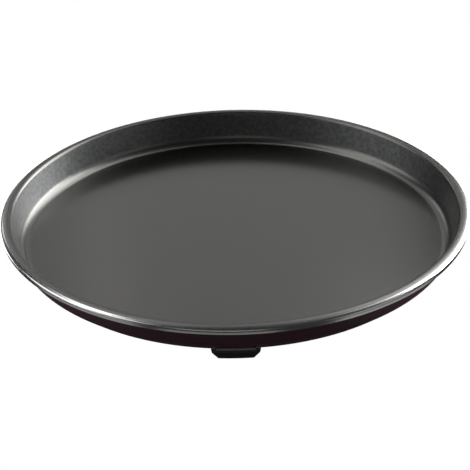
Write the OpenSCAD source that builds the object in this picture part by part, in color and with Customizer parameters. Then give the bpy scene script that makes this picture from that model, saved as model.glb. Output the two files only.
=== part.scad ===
// Microwave crisp plate: a shallow round dish pressed from one sheet, a disc of ferrite rubber
// bonded under its floor that heats up in the oven, and three moulded feet under the disc.
// The origin is the centre of the circle that the feet stand on, +Z is up, and one foot faces -Y.

/* [Dish] */
// Outer diameter, over the turned-down rim
rim_d = 305; // [240:1:380]
// Depth from the top of the rim to the cooking floor
dish_depth = 20.5; // [14:0.5:40]
// Thickness of the pressed sheet
sheet_t = 1.5; // [0.8:0.1:2.4]
// Slope of the side wall above the floor, in degrees
wall_angle = 74; // [58:1:82]
// Radius of the bend from floor to wall, on the food side
floor_bend_r = 7; // [3:0.5:10]

/* [Rim] */
// Radius of the bend from wall to rim, on the underside
fold_bend_r = 0.8; // [0.4:0.1:2]
// Width of the level ring on top of the rim, just outside that bend
rim_land = 0.4; // [0.2:0.1:3]
// Radius of the rim's crowned top, which curves down from level towards the edge
crown_r = 7.5; // [4:0.5:12]
// Slope that the crown reaches, in degrees
crown_slope = 28; // [10:1:40]
// Straight stretch of that slope, between the crown and the outer bend
slope_flat = 0.4; // [0.1:0.1:2]
// Radius of the outer bend of the rim, on the underside
rim_bend_r = 0.3; // [0.2:0.1:2]
// Straight drop of the rim's skirt below the outer bend
skirt_drop = 1.4; // [0.5:0.1:5]

/* [Absorber] */
// Thickness of the ferrite rubber disc
absorber_t = 4; // [3:0.1:7]
// Bare ring of flat sheet left between the disc and the floor bend
absorber_margin = 1.5; // [0.5:0.1:8]
// Radius on the disc's lower edge
absorber_edge_r = 1; // [0.4:0.1:2]

/* [Feet] */
// Height of the feet below the disc
foot_h = 7; // [4:0.5:14]
// Width of a foot at the top, along the edge of the disc
foot_w = 30.5; // [24:0.5:44]
// Width of the face that a foot stands on
tread_w = 21; // [14:0.5:26]
// Depth of a foot at the top, in towards the centre
foot_depth = 20; // [19.5:0.5:30]
// How far the front and the back of a foot each lean in from top to bottom
foot_lean = 3.6; // [1:0.1:4.4]
// Reach of a foot past the edge of the disc
foot_overhang = 3.2; // [1.5:0.1:5]
// Height of the lip that hooks up in front of the disc's edge
hook_h = 1.5; // [0.5:0.1:2.4]
// Extra height of the two raised ends of that lip
horn_h = 1.1; // [0.2:0.1:1.4]
// Width of each raised end
horn_w = 2.4; // [1:0.1:4]
// Radius of the edges on top of the lip
lip_edge_r = 0.6; // [0.2:0.1:0.9]
// Corner radius of a foot, seen from above
foot_corner_r = 4; // [2:0.1:6]
// Radius of the edge between a foot's upright sides and its sloped ones
shoulder_r = 1.5; // [0.4:0.1:2]
// Radius of the edges round the face that a foot stands on
tread_edge_r = 1.8; // [0.4:0.1:2]

/* [Foot root] */
// Height of the root that is bonded into the disc
root_h = 2; // [1:0.1:2.4]
// Width of the root, along the edge of the disc
root_w = 20; // [10:0.5:22]
// Depth of the root, in towards the centre
root_depth = 11; // [6:0.5:12]
// Distance from the edge of the disc in to the root
root_inset = 3.5; // [2:0.1:4]
// Corner radius of the root, seen from above
root_corner_r = 2; // [0.5:0.1:4]
// Clearance round the root and behind the lip
fit_gap = 0.2; // [0.1:0.05:0.4]

/* [Hidden] */
$fn = 180;
bend_steps = 12;
corner_steps = 5;
sheet_colour = "#5c5b57";
rubber_colour = "#43292c";
foot_colour = "#1d1a1e";

// Directions of the three feet round the centre, in degrees from +X
front_angle = -90;
rear_right_angle = front_angle + 120;
rear_left_angle = front_angle + 240;

// Levels, from the standing surface up
absorber_z = foot_h;
sheet_z = absorber_z + absorber_t;
floor_z = sheet_z + sheet_t;
rim_z = floor_z + dish_depth;

// Directions in the half section, as [outwards, up]: the faces of the sheet on the food side
up = [0, 1];
out = [1, 0];
wall_face = [-sin(wall_angle), cos(wall_angle)];
slope_face = [sin(crown_slope), cos(crown_slope)];
down_slope = [cos(crown_slope), -sin(crown_slope)];

// From the centre of each bend to its sharp corner, for a bend of radius 1
floor_reach = reach(up, wall_face);
fold_reach = reach(wall_face, up);
crown_reach = reach(up, slope_face);
rim_reach = reach(slope_face, out);

// Radii of the bends on the other face of the sheet
floor_out_r = floor_bend_r + sheet_t;
fold_out_r = fold_bend_r + sheet_t;
crown_under_r = crown_r - sheet_t;
rim_out_r = rim_bend_r + sheet_t;

// Centres of the four bends, as [radius, height]
rim_r = rim_d / 2;
crown_to_rim = (crown_r - rim_out_r) * slope_face + slope_flat * down_slope;
crown_bend = [rim_r - rim_out_r - crown_to_rim[0], rim_z - crown_r];
rim_bend = crown_bend + crown_to_rim;
fold_bend = [crown_bend[0] - rim_land, rim_z - fold_out_r];
fold_corner = fold_bend + fold_out_r * fold_reach;
floor_corner = [fold_corner[0] - (fold_corner[1] - floor_z) / tan(wall_angle), floor_z];
floor_bend = floor_corner + floor_bend_r * floor_reach;
skirt_z = rim_bend[1] - skirt_drop;

absorber_r = floor_bend[0] - absorber_margin;
foot_out_r = absorber_r + foot_overhang;
foot_in_r = foot_out_r - foot_depth;
lip_z = absorber_z + hook_h;
horn_z = lip_z + horn_h;
root_out_r = absorber_r - root_inset;

// Where two sides with the given face directions meet, seen from the centre of a bend of radius 1
function reach(a, b) = (a + b) / (1 + a * b);

// Arc that rounds the corner at b, between the sides that run to a and to c
function corner_arc(a, b, c, r, steps) =
    let (
        to_a = (a - b) / norm(a - b),
        to_c = (c - b) / norm(c - b),
        half = acos(to_a * to_c) / 2,
        mid = (to_a + to_c) / norm(to_a + to_c),
        centre = b + mid * r / sin(half),
        from = b + to_a * r / tan(half) - centre,
        turn = sign(from[0] * mid[1] - from[1] * mid[0]) * -(180 - 2 * half)
    )
    [
        for (i = [0 : steps])
            let (t = turn * i / steps)
            centre + [
                from[0] * cos(t) - from[1] * sin(t),
                from[0] * sin(t) + from[1] * cos(t)
            ]
    ];

// Outline through the given [x, y, radius] corners, each rounded by its own radius
function rounded(corners, steps = corner_steps) =
    let (n = len(corners), p = [for (c = corners) [c[0], c[1]]])
    [
        for (i = [0 : n - 1])
            each corners[i][2] > 0
                ? corner_arc(p[(i + n - 1) % n], p[i], p[(i + 1) % n], corners[i][2], steps)
                : [p[i]]
    ];

// Half section of the dish: floor, wall, rim and skirt, all in one thickness of sheet
module dish_section() {
    floor_under = floor_bend - floor_out_r * floor_reach;
    fold_under = fold_bend + fold_bend_r * fold_reach;
    crown_corner = crown_bend + crown_r * crown_reach;
    crown_under = crown_bend + crown_under_r * crown_reach;
    rim_corner = rim_bend + rim_out_r * rim_reach;
    rim_under = rim_bend + rim_bend_r * rim_reach;
    polygon(rounded(
        [
            [0, floor_z, 0],
            [floor_corner[0], floor_corner[1], floor_bend_r],
            [fold_corner[0], fold_corner[1], fold_out_r],
            [crown_corner[0], crown_corner[1], crown_r],
            [rim_corner[0], rim_corner[1], rim_out_r],
            [rim_r, skirt_z, 0],
            [rim_r - sheet_t, skirt_z, 0],
            [rim_under[0], rim_under[1], rim_bend_r],
            [crown_under[0], crown_under[1], crown_under_r],
            [fold_under[0], fold_under[1], fold_bend_r],
            [floor_under[0], floor_under[1], floor_out_r],
            [0, sheet_z, 0]
        ],
        bend_steps
    ));
}

module pan() {
    color(sheet_colour)
        rotate_extrude()
            dish_section();
}

// Half section of the disc, with its lower edge rounded
module absorber_section() {
    polygon(rounded(
        [
            [0, absorber_z, 0],
            [absorber_r, absorber_z, absorber_edge_r],
            [absorber_r, sheet_z, 0],
            [0, sheet_z, 0]
        ],
        bend_steps
    ));
}

// Root of a foot, out along +X, grown by a gap on every side and at the top.
// It reaches as far down into the foot as it stands out of it, so the two are one solid.
module root(gap) {
    x0 = root_out_r - root_depth - gap;
    x1 = root_out_r + gap;
    y = root_w / 2 + gap;
    r = root_corner_r + gap;
    translate([0, 0, absorber_z - root_h])
        linear_extrude(2 * root_h + gap)
            polygon(rounded([[x0, -y, r], [x1, -y, r], [x1, y, r], [x0, y, r]]));
}

module absorber() {
    color(rubber_colour)
        difference() {
            rotate_extrude()
                absorber_section();
            for (a = [front_angle, rear_left_angle, rear_right_angle])
                rotate(a)
                    root(fit_gap);
        }
}

// Outline of a foot seen from outside the dish: sloped ends above a rounded tread
module foot_front_view() {
    side = foot_w / 2;
    tread = tread_w / 2;
    polygon(rounded([
        [-tread, 0, tread_edge_r],
        [tread, 0, tread_edge_r],
        [side, absorber_z, shoulder_r],
        [side, lip_z, lip_edge_r],
        [-side, lip_z, lip_edge_r],
        [-side, absorber_z, shoulder_r]
    ]));
}

// Outline of one raised end of the lip, seen from outside the dish
module horn_front_view() {
    side = foot_w / 2;
    polygon(rounded([
        [side - horn_w - horn_h, lip_z - lip_edge_r, 0],
        [side - horn_w, horn_z, horn_h / 3],
        [side, horn_z, horn_h / 3],
        [side, lip_z - lip_edge_r, 0]
    ]));
}

// Foot in section along a radius of the dish, with a lip of the given height on its outer side
module foot_section(lip_top) {
    lip_in = absorber_r + fit_gap;
    polygon(rounded([
        [foot_in_r + foot_lean, 0, tread_edge_r],
        [foot_out_r - foot_lean, 0, tread_edge_r],
        [foot_out_r, absorber_z - lip_edge_r, shoulder_r],
        [foot_out_r, lip_top, lip_edge_r],
        [lip_in, lip_top, lip_edge_r],
        [lip_in, absorber_z, 0],
        [foot_in_r, absorber_z, 0],
        [foot_in_r, absorber_z - lip_edge_r, 0]
    ]));
}

// Foot section swept round the dish, cut to the outline that its children give
module swept(lip_top) {
    sweep = 2 * atan(foot_w / foot_in_r);
    intersection() {
        rotate(-sweep / 2)
            rotate_extrude(angle = sweep)
                foot_section(lip_top);
        rotate([90, 0, 90])
            linear_extrude(foot_out_r + foot_w)
                children();
    }
}

// Outline of a foot seen from above: it bounds the corners, and the sweep gives front and back
module foot_plan() {
    side = foot_w / 2;
    x0 = foot_in_r - foot_overhang;
    x1 = foot_out_r + foot_overhang / 4;
    r = foot_corner_r;
    polygon(rounded([[x0, -side, r], [x1, -side, r], [x1, side, r], [x0, side, r]]));
}

// Foot out along +X: a block with a lip that hooks the disc's edge, and the root on top
module foot() {
    intersection() {
        linear_extrude(horn_z)
            foot_plan();
        union() {
            swept(lip_z)
                foot_front_view();
            for (m = [0, 1])
                mirror([0, m, 0])
                    swept(horn_z)
                        horn_front_view();
        }
    }
    root(0);
}

module foot_front() {
    color(foot_colour)
        rotate(front_angle)
            foot();
}

module foot_rear_left() {
    color(foot_colour)
        rotate(rear_left_angle)
            foot();
}

module foot_rear_right() {
    color(foot_colour)
        rotate(rear_right_angle)
            foot();
}

pan();
absorber();
foot_front();
foot_rear_left();
foot_rear_right();
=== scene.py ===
import math

import bpy
from mathutils import Matrix, Vector


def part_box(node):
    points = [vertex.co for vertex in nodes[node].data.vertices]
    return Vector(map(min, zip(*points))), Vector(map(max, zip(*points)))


# Looks of a microwave crisp plate: a dish with a dark coating inside, dark maroon enamel outside and
# a bare metal edge, over a disc of ferrite rubber on three black feet. All lengths are in metres.

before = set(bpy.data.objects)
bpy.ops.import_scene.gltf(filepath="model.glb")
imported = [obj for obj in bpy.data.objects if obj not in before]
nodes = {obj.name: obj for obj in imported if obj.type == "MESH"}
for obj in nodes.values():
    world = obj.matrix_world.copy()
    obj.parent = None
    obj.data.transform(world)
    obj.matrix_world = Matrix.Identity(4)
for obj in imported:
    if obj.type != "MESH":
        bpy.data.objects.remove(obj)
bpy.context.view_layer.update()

MM = 0.001

# Sizes of the dish that the finishes follow
DISH_DEPTH = 20.5 * MM
RIM_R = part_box("pan")[1].x
RIM_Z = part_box("pan")[1].z
FLOOR_Z = RIM_Z - DISH_DEPTH
DISH_CENTRE = Vector((0, 0, FLOOR_Z + 10 * MM))

# Where the wall's fold ends and the rim starts, and half the width of the blend there
RIM_FOLD_R = RIM_R - 5.2 * MM
FOLD_BLEND = 0.5 * MM

# The coating covers most of the rim's crown, and the rim's edge outside it is bare metal. Again with
# half the width of the blend.
COATING_END_R = RIM_R - 2.0 * MM
EDGE_BLEND = 0.25 * MM

# Upward part of the normal at which one finish starts to give way to the next, and at which it has
WALL_TO_FLOOR = (0.25, 0.6)
BEND_TO_FLOOR = (0.93, 0.99)
OUTSIDE_TO_INSIDE = (-0.06, 0.0)
# The last pair sets where the painted highlight on the top of the feet's lips begins
SIDE_TO_PAINTED_HIGHLIGHT = (0.3, 0.8)

# Colours: the two between which the grain of each finish varies, and a painted highlight: the paler
# colour on the top of the feet's lips
FLOOR_COAT = ((0.086, 0.085, 0.080), (0.100, 0.099, 0.094))
WALL_COAT = ((0.086, 0.088, 0.088), (0.120, 0.122, 0.122))
ENAMEL = ((0.036, 0.008, 0.015), (0.058, 0.014, 0.025))
BARE_METAL = ((0.42, 0.415, 0.415), (0.49, 0.485, 0.485))
FERRITE_RUBBER = ((0.022, 0.010, 0.011), (0.040, 0.018, 0.020))
FOOT_RUBBER = ((0.006, 0.005, 0.007), (0.010, 0.009, 0.012))
# Painted highlight: the lip's upper face is made paler, in place of light catching it
LIP_PAINTED_HIGHLIGHT = (0.60, 0.52, 0.58)
WHITE = (1, 1, 1, 1)
BLACK = (0, 0, 0, 1)

# Roughness, as two values where it varies with the grain
FLOOR_ROUGH = (0.18, 0.22)
WALL_ROUGH = (0.40, 0.46)
BEND_ROUGH = 0.29
RIM_ROUGH = 0.34
ENAMEL_ROUGH = 0.45
METAL_ROUGH = 0.2
FERRITE_ROUGH = 0.7
FOOT_ROUGH = 0.4

# Size of the grain and of the wall's patches, and height of the relief
SHEET_GRAIN = 0.9 * MM
WALL_PATCHES = 2.4 * MM
FERRITE_GRAIN = 0.8 * MM
FOOT_GRAIN = 0.6 * MM
SHEET_RELIEF = 0.02 * MM
FERRITE_RELIEF = 0.03 * MM
FOOT_RELIEF = 0.01 * MM

# Detail of the finer noises
FINE_DETAIL = 3.0

# Part of the noise's range that becomes grain: the narrower it is, the stronger the contrast
SHEET_CONTRAST = (0.35, 0.65)
RUBBER_CONTRAST = (0.3, 0.7)

# Camera, fitted to the ellipses of the rim and of the floor. Sensor and lens are in millimetres.
CAMERA_DISTANCE = 1.6
CAMERA_AZIMUTH = math.radians(-89.4)
CAMERA_ELEVATION = math.radians(28.25)
CAMERA_ROLL = math.radians(-1.38)
CAMERA_AIM_RIGHT = -0.34 * MM
CAMERA_AIM_UP = -7.60 * MM
SENSOR_W = 36.0
LENS = 187.95

# Surroundings
FLOOR_HALF_SIZE = 40.0
FAR_WALL_H = 40.0
CARD_DISTANCE = 1.4
WORLD_STRENGTH = 0.045


def new_material(name):
    """A material with one Principled shader. Returns the material, its node tree and the shader."""
    material = bpy.data.materials.new(name)
    material.use_nodes = True
    tree = material.node_tree
    tree.nodes.clear()
    output = tree.nodes.new("ShaderNodeOutputMaterial")
    shader = tree.nodes.new("ShaderNodeBsdfPrincipled")
    tree.links.new(shader.outputs["BSDF"], output.inputs["Surface"])
    return material, tree, shader


def feed(tree, socket, value):
    """Gives an input its value: another node's output, a colour or a number."""
    if isinstance(value, bpy.types.NodeSocket):
        tree.links.new(value, socket)
    elif isinstance(value, tuple):
        socket.default_value = (*value, 1)
    else:
        socket.default_value = value


def math_node(tree, operation, *values):
    """A Math node whose inputs are numbers or sockets. Returns its output."""
    node = tree.nodes.new("ShaderNodeMath")
    node.operation = operation
    for socket, value in zip(node.inputs, values):
        feed(tree, socket, value)
    return node.outputs[0]


def ramp(tree, value, low, high):
    """0 below low, 1 above high, and smooth between them."""
    node = tree.nodes.new("ShaderNodeMapRange")
    node.interpolation_type = "SMOOTHSTEP"
    node.inputs["From Min"].default_value = low
    node.inputs["From Max"].default_value = high
    tree.links.new(value, node.inputs["Value"])
    return node.outputs["Result"]


def fade(tree, value, low, high):
    """1 below low, 0 above high, and smooth between them."""
    return math_node(tree, "SUBTRACT", 1.0, ramp(tree, value, low, high))


# A Mix node has its sockets for each kind of data, under the same names, so they are picked by number

def mixed_number(tree, mask, a, b):
    """a where mask is 0, b where it is 1."""
    node = tree.nodes.new("ShaderNodeMix")
    node.data_type = "FLOAT"
    tree.links.new(mask, node.inputs[0])
    feed(tree, node.inputs[2], a)
    feed(tree, node.inputs[3], b)
    return node.outputs[0]


def mixed_colour(tree, mask, a, b):
    """Colour a where mask is 0, b where it is 1."""
    node = tree.nodes.new("ShaderNodeMix")
    node.data_type = "RGBA"
    tree.links.new(mask, node.inputs[0])
    feed(tree, node.inputs[6], a)
    feed(tree, node.inputs[7], b)
    return node.outputs[2]


def position(tree):
    """The point of the surface in the frame, which is also the object's own space."""
    return tree.nodes.new("ShaderNodeTexCoord").outputs["Object"]


def radius_from_axis(tree):
    """Distance of the surface's point from the dish's axis."""
    place = tree.nodes.new("ShaderNodeSeparateXYZ")
    tree.links.new(position(tree), place.inputs[0])
    squares = math_node(
        tree, "ADD",
        math_node(tree, "MULTIPLY", place.outputs["X"], place.outputs["X"]),
        math_node(tree, "MULTIPLY", place.outputs["Y"], place.outputs["Y"]),
    )
    return math_node(tree, "SQRT", squares)


def upward_part(tree):
    """Upward part of the normal: 1 on a level top, 0 on an upright face, -1 on a level underside."""
    normal = tree.nodes.new("ShaderNodeSeparateXYZ")
    tree.links.new(tree.nodes.new("ShaderNodeTexCoord").outputs["Normal"], normal.inputs[0])
    return normal.outputs["Z"]


def noise(tree, size, detail=2.0):
    """Noise whose lumps are about size across. Returns its value, 0 to 1."""
    node = tree.nodes.new("ShaderNodeTexNoise")
    node.inputs["Scale"].default_value = 1 / size
    node.inputs["Detail"].default_value = detail
    tree.links.new(position(tree), node.inputs["Vector"])
    return node.outputs["Fac"]


def bump(tree, shader, height, distance):
    """Relief on the shader's normal, distance high where height is 1."""
    node = tree.nodes.new("ShaderNodeBump")
    node.inputs["Distance"].default_value = distance
    tree.links.new(height, node.inputs["Height"])
    tree.links.new(node.outputs["Normal"], shader.inputs["Normal"])


def sheet_masks(tree):
    """Where the parts of the dish are: each mask is 1 on its part and 0 elsewhere."""
    radius = radius_from_axis(tree)
    up = upward_part(tree)
    return {
        "wall": fade(tree, up, *WALL_TO_FLOOR),
        "bend": fade(tree, up, *BEND_TO_FLOOR),
        "outside": fade(tree, up, *OUTSIDE_TO_INSIDE),
        "rim": ramp(tree, radius, RIM_FOLD_R - FOLD_BLEND, RIM_FOLD_R + FOLD_BLEND),
        "bare": ramp(tree, radius, COATING_END_R - EDGE_BLEND, COATING_END_R + EDGE_BLEND),
    }


def sheet_colour(tree, masks, grain):
    """The coating's greys inside, the enamel outside and the metal of the edge."""
    patches = ramp(tree, noise(tree, WALL_PATCHES), *SHEET_CONTRAST)
    floor_coat = mixed_colour(tree, grain, *FLOOR_COAT)
    wall_coat = mixed_colour(tree, patches, *WALL_COAT)
    coating = mixed_colour(tree, masks["wall"], floor_coat, wall_coat)
    painted = mixed_colour(tree, masks["outside"], coating, mixed_colour(tree, grain, *ENAMEL))
    return mixed_colour(tree, masks["bare"], painted, mixed_colour(tree, grain, *BARE_METAL))


def sheet_roughness(tree, masks, grain):
    """The coating is smoothest on the floor, then on the bend and the rim, and roughest on the wall."""
    floor = mixed_number(tree, grain, *FLOOR_ROUGH)
    bend = mixed_number(tree, masks["bend"], floor, BEND_ROUGH)
    rim = mixed_number(tree, masks["rim"], bend, RIM_ROUGH)
    coating = mixed_number(tree, masks["wall"], rim, mixed_number(tree, grain, *WALL_ROUGH))
    painted = mixed_number(tree, masks["outside"], coating, ENAMEL_ROUGH)
    return mixed_number(tree, masks["bare"], painted, METAL_ROUGH)


def sheet_material():
    """Dark satin coating inside, maroon enamel outside and bare metal on the rim's edge."""
    material, tree, shader = new_material("coated_sheet")
    masks = sheet_masks(tree)
    speckle = noise(tree, SHEET_GRAIN, detail=FINE_DETAIL)
    grain = ramp(tree, speckle, *SHEET_CONTRAST)
    tree.links.new(sheet_colour(tree, masks, grain), shader.inputs["Base Color"])
    tree.links.new(sheet_roughness(tree, masks, grain), shader.inputs["Roughness"])
    # The coating gleams like metal, and only the enamel doesn't
    inside = math_node(tree, "SUBTRACT", 1.0, masks["outside"])
    tree.links.new(mixed_number(tree, masks["bare"], inside, 1.0), shader.inputs["Metallic"])
    bump(tree, shader, speckle, SHEET_RELIEF)
    return material


def absorber_material():
    """Matt maroon-brown rubber filled with ferrite."""
    material, tree, shader = new_material("ferrite_rubber")
    grain = ramp(tree, noise(tree, FERRITE_GRAIN, detail=FINE_DETAIL), *RUBBER_CONTRAST)
    tree.links.new(mixed_colour(tree, grain, *FERRITE_RUBBER), shader.inputs["Base Color"])
    shader.inputs["Roughness"].default_value = FERRITE_ROUGH
    bump(tree, shader, grain, FERRITE_RELIEF)
    return material


def foot_material():
    """Smooth black moulded rubber, with a painted highlight: paler on the upper face of the lip."""
    material, tree, shader = new_material("foot_rubber")
    grain = ramp(tree, noise(tree, FOOT_GRAIN), *RUBBER_CONTRAST)
    # Painted highlight: the upward faces of the lips get a paler colour, in place of light catching
    # them
    top = ramp(tree, upward_part(tree), *SIDE_TO_PAINTED_HIGHLIGHT)
    colour = mixed_colour(tree, top, mixed_colour(tree, grain, *FOOT_RUBBER), LIP_PAINTED_HIGHLIGHT)
    tree.links.new(colour, shader.inputs["Base Color"])
    shader.inputs["Roughness"].default_value = FOOT_ROUGH
    bump(tree, shader, grain, FOOT_RELIEF)
    return material


def dress(node, material):
    """Gives a CAD node a material, and leaves its shape alone."""
    data = nodes[node].data
    data.materials.clear()
    data.materials.append(material)


def add_camera():
    """The camera, which looks past the dish's centre by the two aims."""
    back = Vector((
        math.cos(CAMERA_ELEVATION) * math.cos(CAMERA_AZIMUTH),
        math.cos(CAMERA_ELEVATION) * math.sin(CAMERA_AZIMUTH),
        math.sin(CAMERA_ELEVATION),
    ))
    right = Vector((-math.sin(CAMERA_AZIMUTH), math.cos(CAMERA_AZIMUTH), 0))
    up = back.cross(right)
    place = DISH_CENTRE + back * CAMERA_DISTANCE
    aim = DISH_CENTRE + right * CAMERA_AIM_RIGHT + up * CAMERA_AIM_UP
    data = bpy.data.cameras.new("camera")
    data.sensor_width = SENSOR_W
    data.lens = LENS
    camera = bpy.data.objects.new("camera", data)
    turn = (aim - place).to_track_quat("-Z", "Y").to_matrix().to_4x4()
    camera.matrix_world = Matrix.Translation(place) @ turn @ Matrix.Rotation(CAMERA_ROLL, 4, "Z")
    bpy.context.scene.collection.objects.link(camera)
    bpy.context.scene.camera = camera


def floor_material():
    """Even white that glows by itself and shows no shadow."""
    material, _, shader = new_material("floor_white")
    shader.inputs["Base Color"].default_value = BLACK
    shader.inputs["Specular IOR Level"].default_value = 0
    shader.inputs["Emission Color"].default_value = WHITE
    shader.inputs["Emission Strength"].default_value = 1.0
    return material


def add_floor():
    """A pale floor with pale walls far away, seen by the camera and left out of the light."""
    half = FLOOR_HALF_SIZE
    corners = [(-half, -half), (half, -half), (half, half), (-half, half)]
    points = [(x, y, z) for z in (0, FAR_WALL_H) for x, y in corners]
    walls = [(i, (i + 1) % 4, (i + 1) % 4 + 4, i + 4) for i in range(4)]
    mesh = bpy.data.meshes.new("floor")
    mesh.from_pydata(points, [], [(0, 1, 2, 3)] + walls)
    mesh.materials.append(floor_material())
    floor = bpy.data.objects.new("floor", mesh)
    floor.visible_diffuse = False
    floor.visible_glossy = False
    floor.visible_shadow = False
    bpy.context.scene.collection.objects.link(floor)


def add_card(name, azimuth, elevation, width, height, radiance):
    """A soft rectangular light that faces the dish's centre. Angles are in degrees."""
    data = bpy.data.lights.new(name, "AREA")
    data.shape = "RECTANGLE"
    data.size = width
    data.size_y = height
    data.energy = radiance * math.pi * width * height
    card = bpy.data.objects.new(name, data)
    a = math.radians(azimuth)
    e = math.radians(elevation)
    way = Vector((math.cos(e) * math.cos(a), math.cos(e) * math.sin(a), math.sin(e)))
    place = DISH_CENTRE + way * CARD_DISTANCE
    turn = (-way).to_track_quat("-Z", "Y").to_matrix().to_4x4()
    card.matrix_world = Matrix.Translation(place) @ turn
    bpy.context.scene.collection.objects.link(card)


def add_lights():
    """Cards all round the dish. Azimuth 0 is on the right, 90 is behind and 270 is in front."""
    # Between the right and the back
    add_card("key_light", azimuth=37, elevation=24, width=1.06, height=1.13, radiance=9)
    add_card("key_low", azimuth=30, elevation=9, width=0.9, height=0.34, radiance=9)
    add_card("key_high", azimuth=50, elevation=51, width=0.6, height=0.2, radiance=5)
    add_card("key_top", azimuth=72, elevation=42, width=0.4, height=0.28, radiance=5.3)
    add_card("top_light", azimuth=56, elevation=60, width=0.6, height=0.28, radiance=1.4)
    # Behind
    add_card("backdrop_left", azimuth=109.5, elevation=31, width=0.5, height=0.75, radiance=0.64)
    add_card("backdrop_right", azimuth=89.5, elevation=26, width=0.42, height=0.6, radiance=0.78)
    add_card("crown_light", azimuth=121, elevation=24, width=0.35, height=0.42, radiance=2.2)
    add_card("high_light", azimuth=128, elevation=58, width=0.85, height=0.42, radiance=3)
    # On the left
    add_card("left_light_high", azimuth=184, elevation=51, width=0.8, height=0.55, radiance=2.5)
    add_card("left_light", azimuth=180, elevation=25, width=1.0, height=0.7, radiance=2.6)
    add_card("left_low_light", azimuth=200, elevation=4, width=1.4, height=0.3, radiance=1.1)
    # Weak ones at the right and in front
    add_card("front_right_light", azimuth=334, elevation=18, width=0.9, height=0.9, radiance=0.5)
    add_card("front_light", azimuth=262, elevation=35, width=0.9, height=0.6, radiance=0.5)
    # Below the dish, as a lit table sends light up
    add_card("table_in_front", azimuth=262, elevation=-35, width=1.2, height=0.5, radiance=0.3)
    add_card("table_left", azimuth=195, elevation=-30, width=1.3, height=0.6, radiance=0.4)
    add_card("table_right", azimuth=345, elevation=-30, width=1.3, height=0.6, radiance=0.5)
    add_card("table_behind", azimuth=92, elevation=-17, width=4.2, height=0.75, radiance=3)


def add_world():
    """A faint even light from all sides."""
    world = bpy.data.worlds.new("studio")
    world.use_nodes = True
    background = world.node_tree.nodes["Background"]
    background.inputs["Color"].default_value = WHITE
    background.inputs["Strength"].default_value = WORLD_STRENGTH
    bpy.context.scene.world = world


sheet = sheet_material()
rubber = absorber_material()
black = foot_material()
dress("pan", sheet)
dress("absorber", rubber)
for foot in ("foot_front", "foot_rear_left", "foot_rear_right"):
    dress(foot, black)
add_camera()
add_floor()
add_lights()
add_world()
# Colours are shown as they are, without a film-like curve
bpy.context.scene.view_settings.view_transform = "Standard"
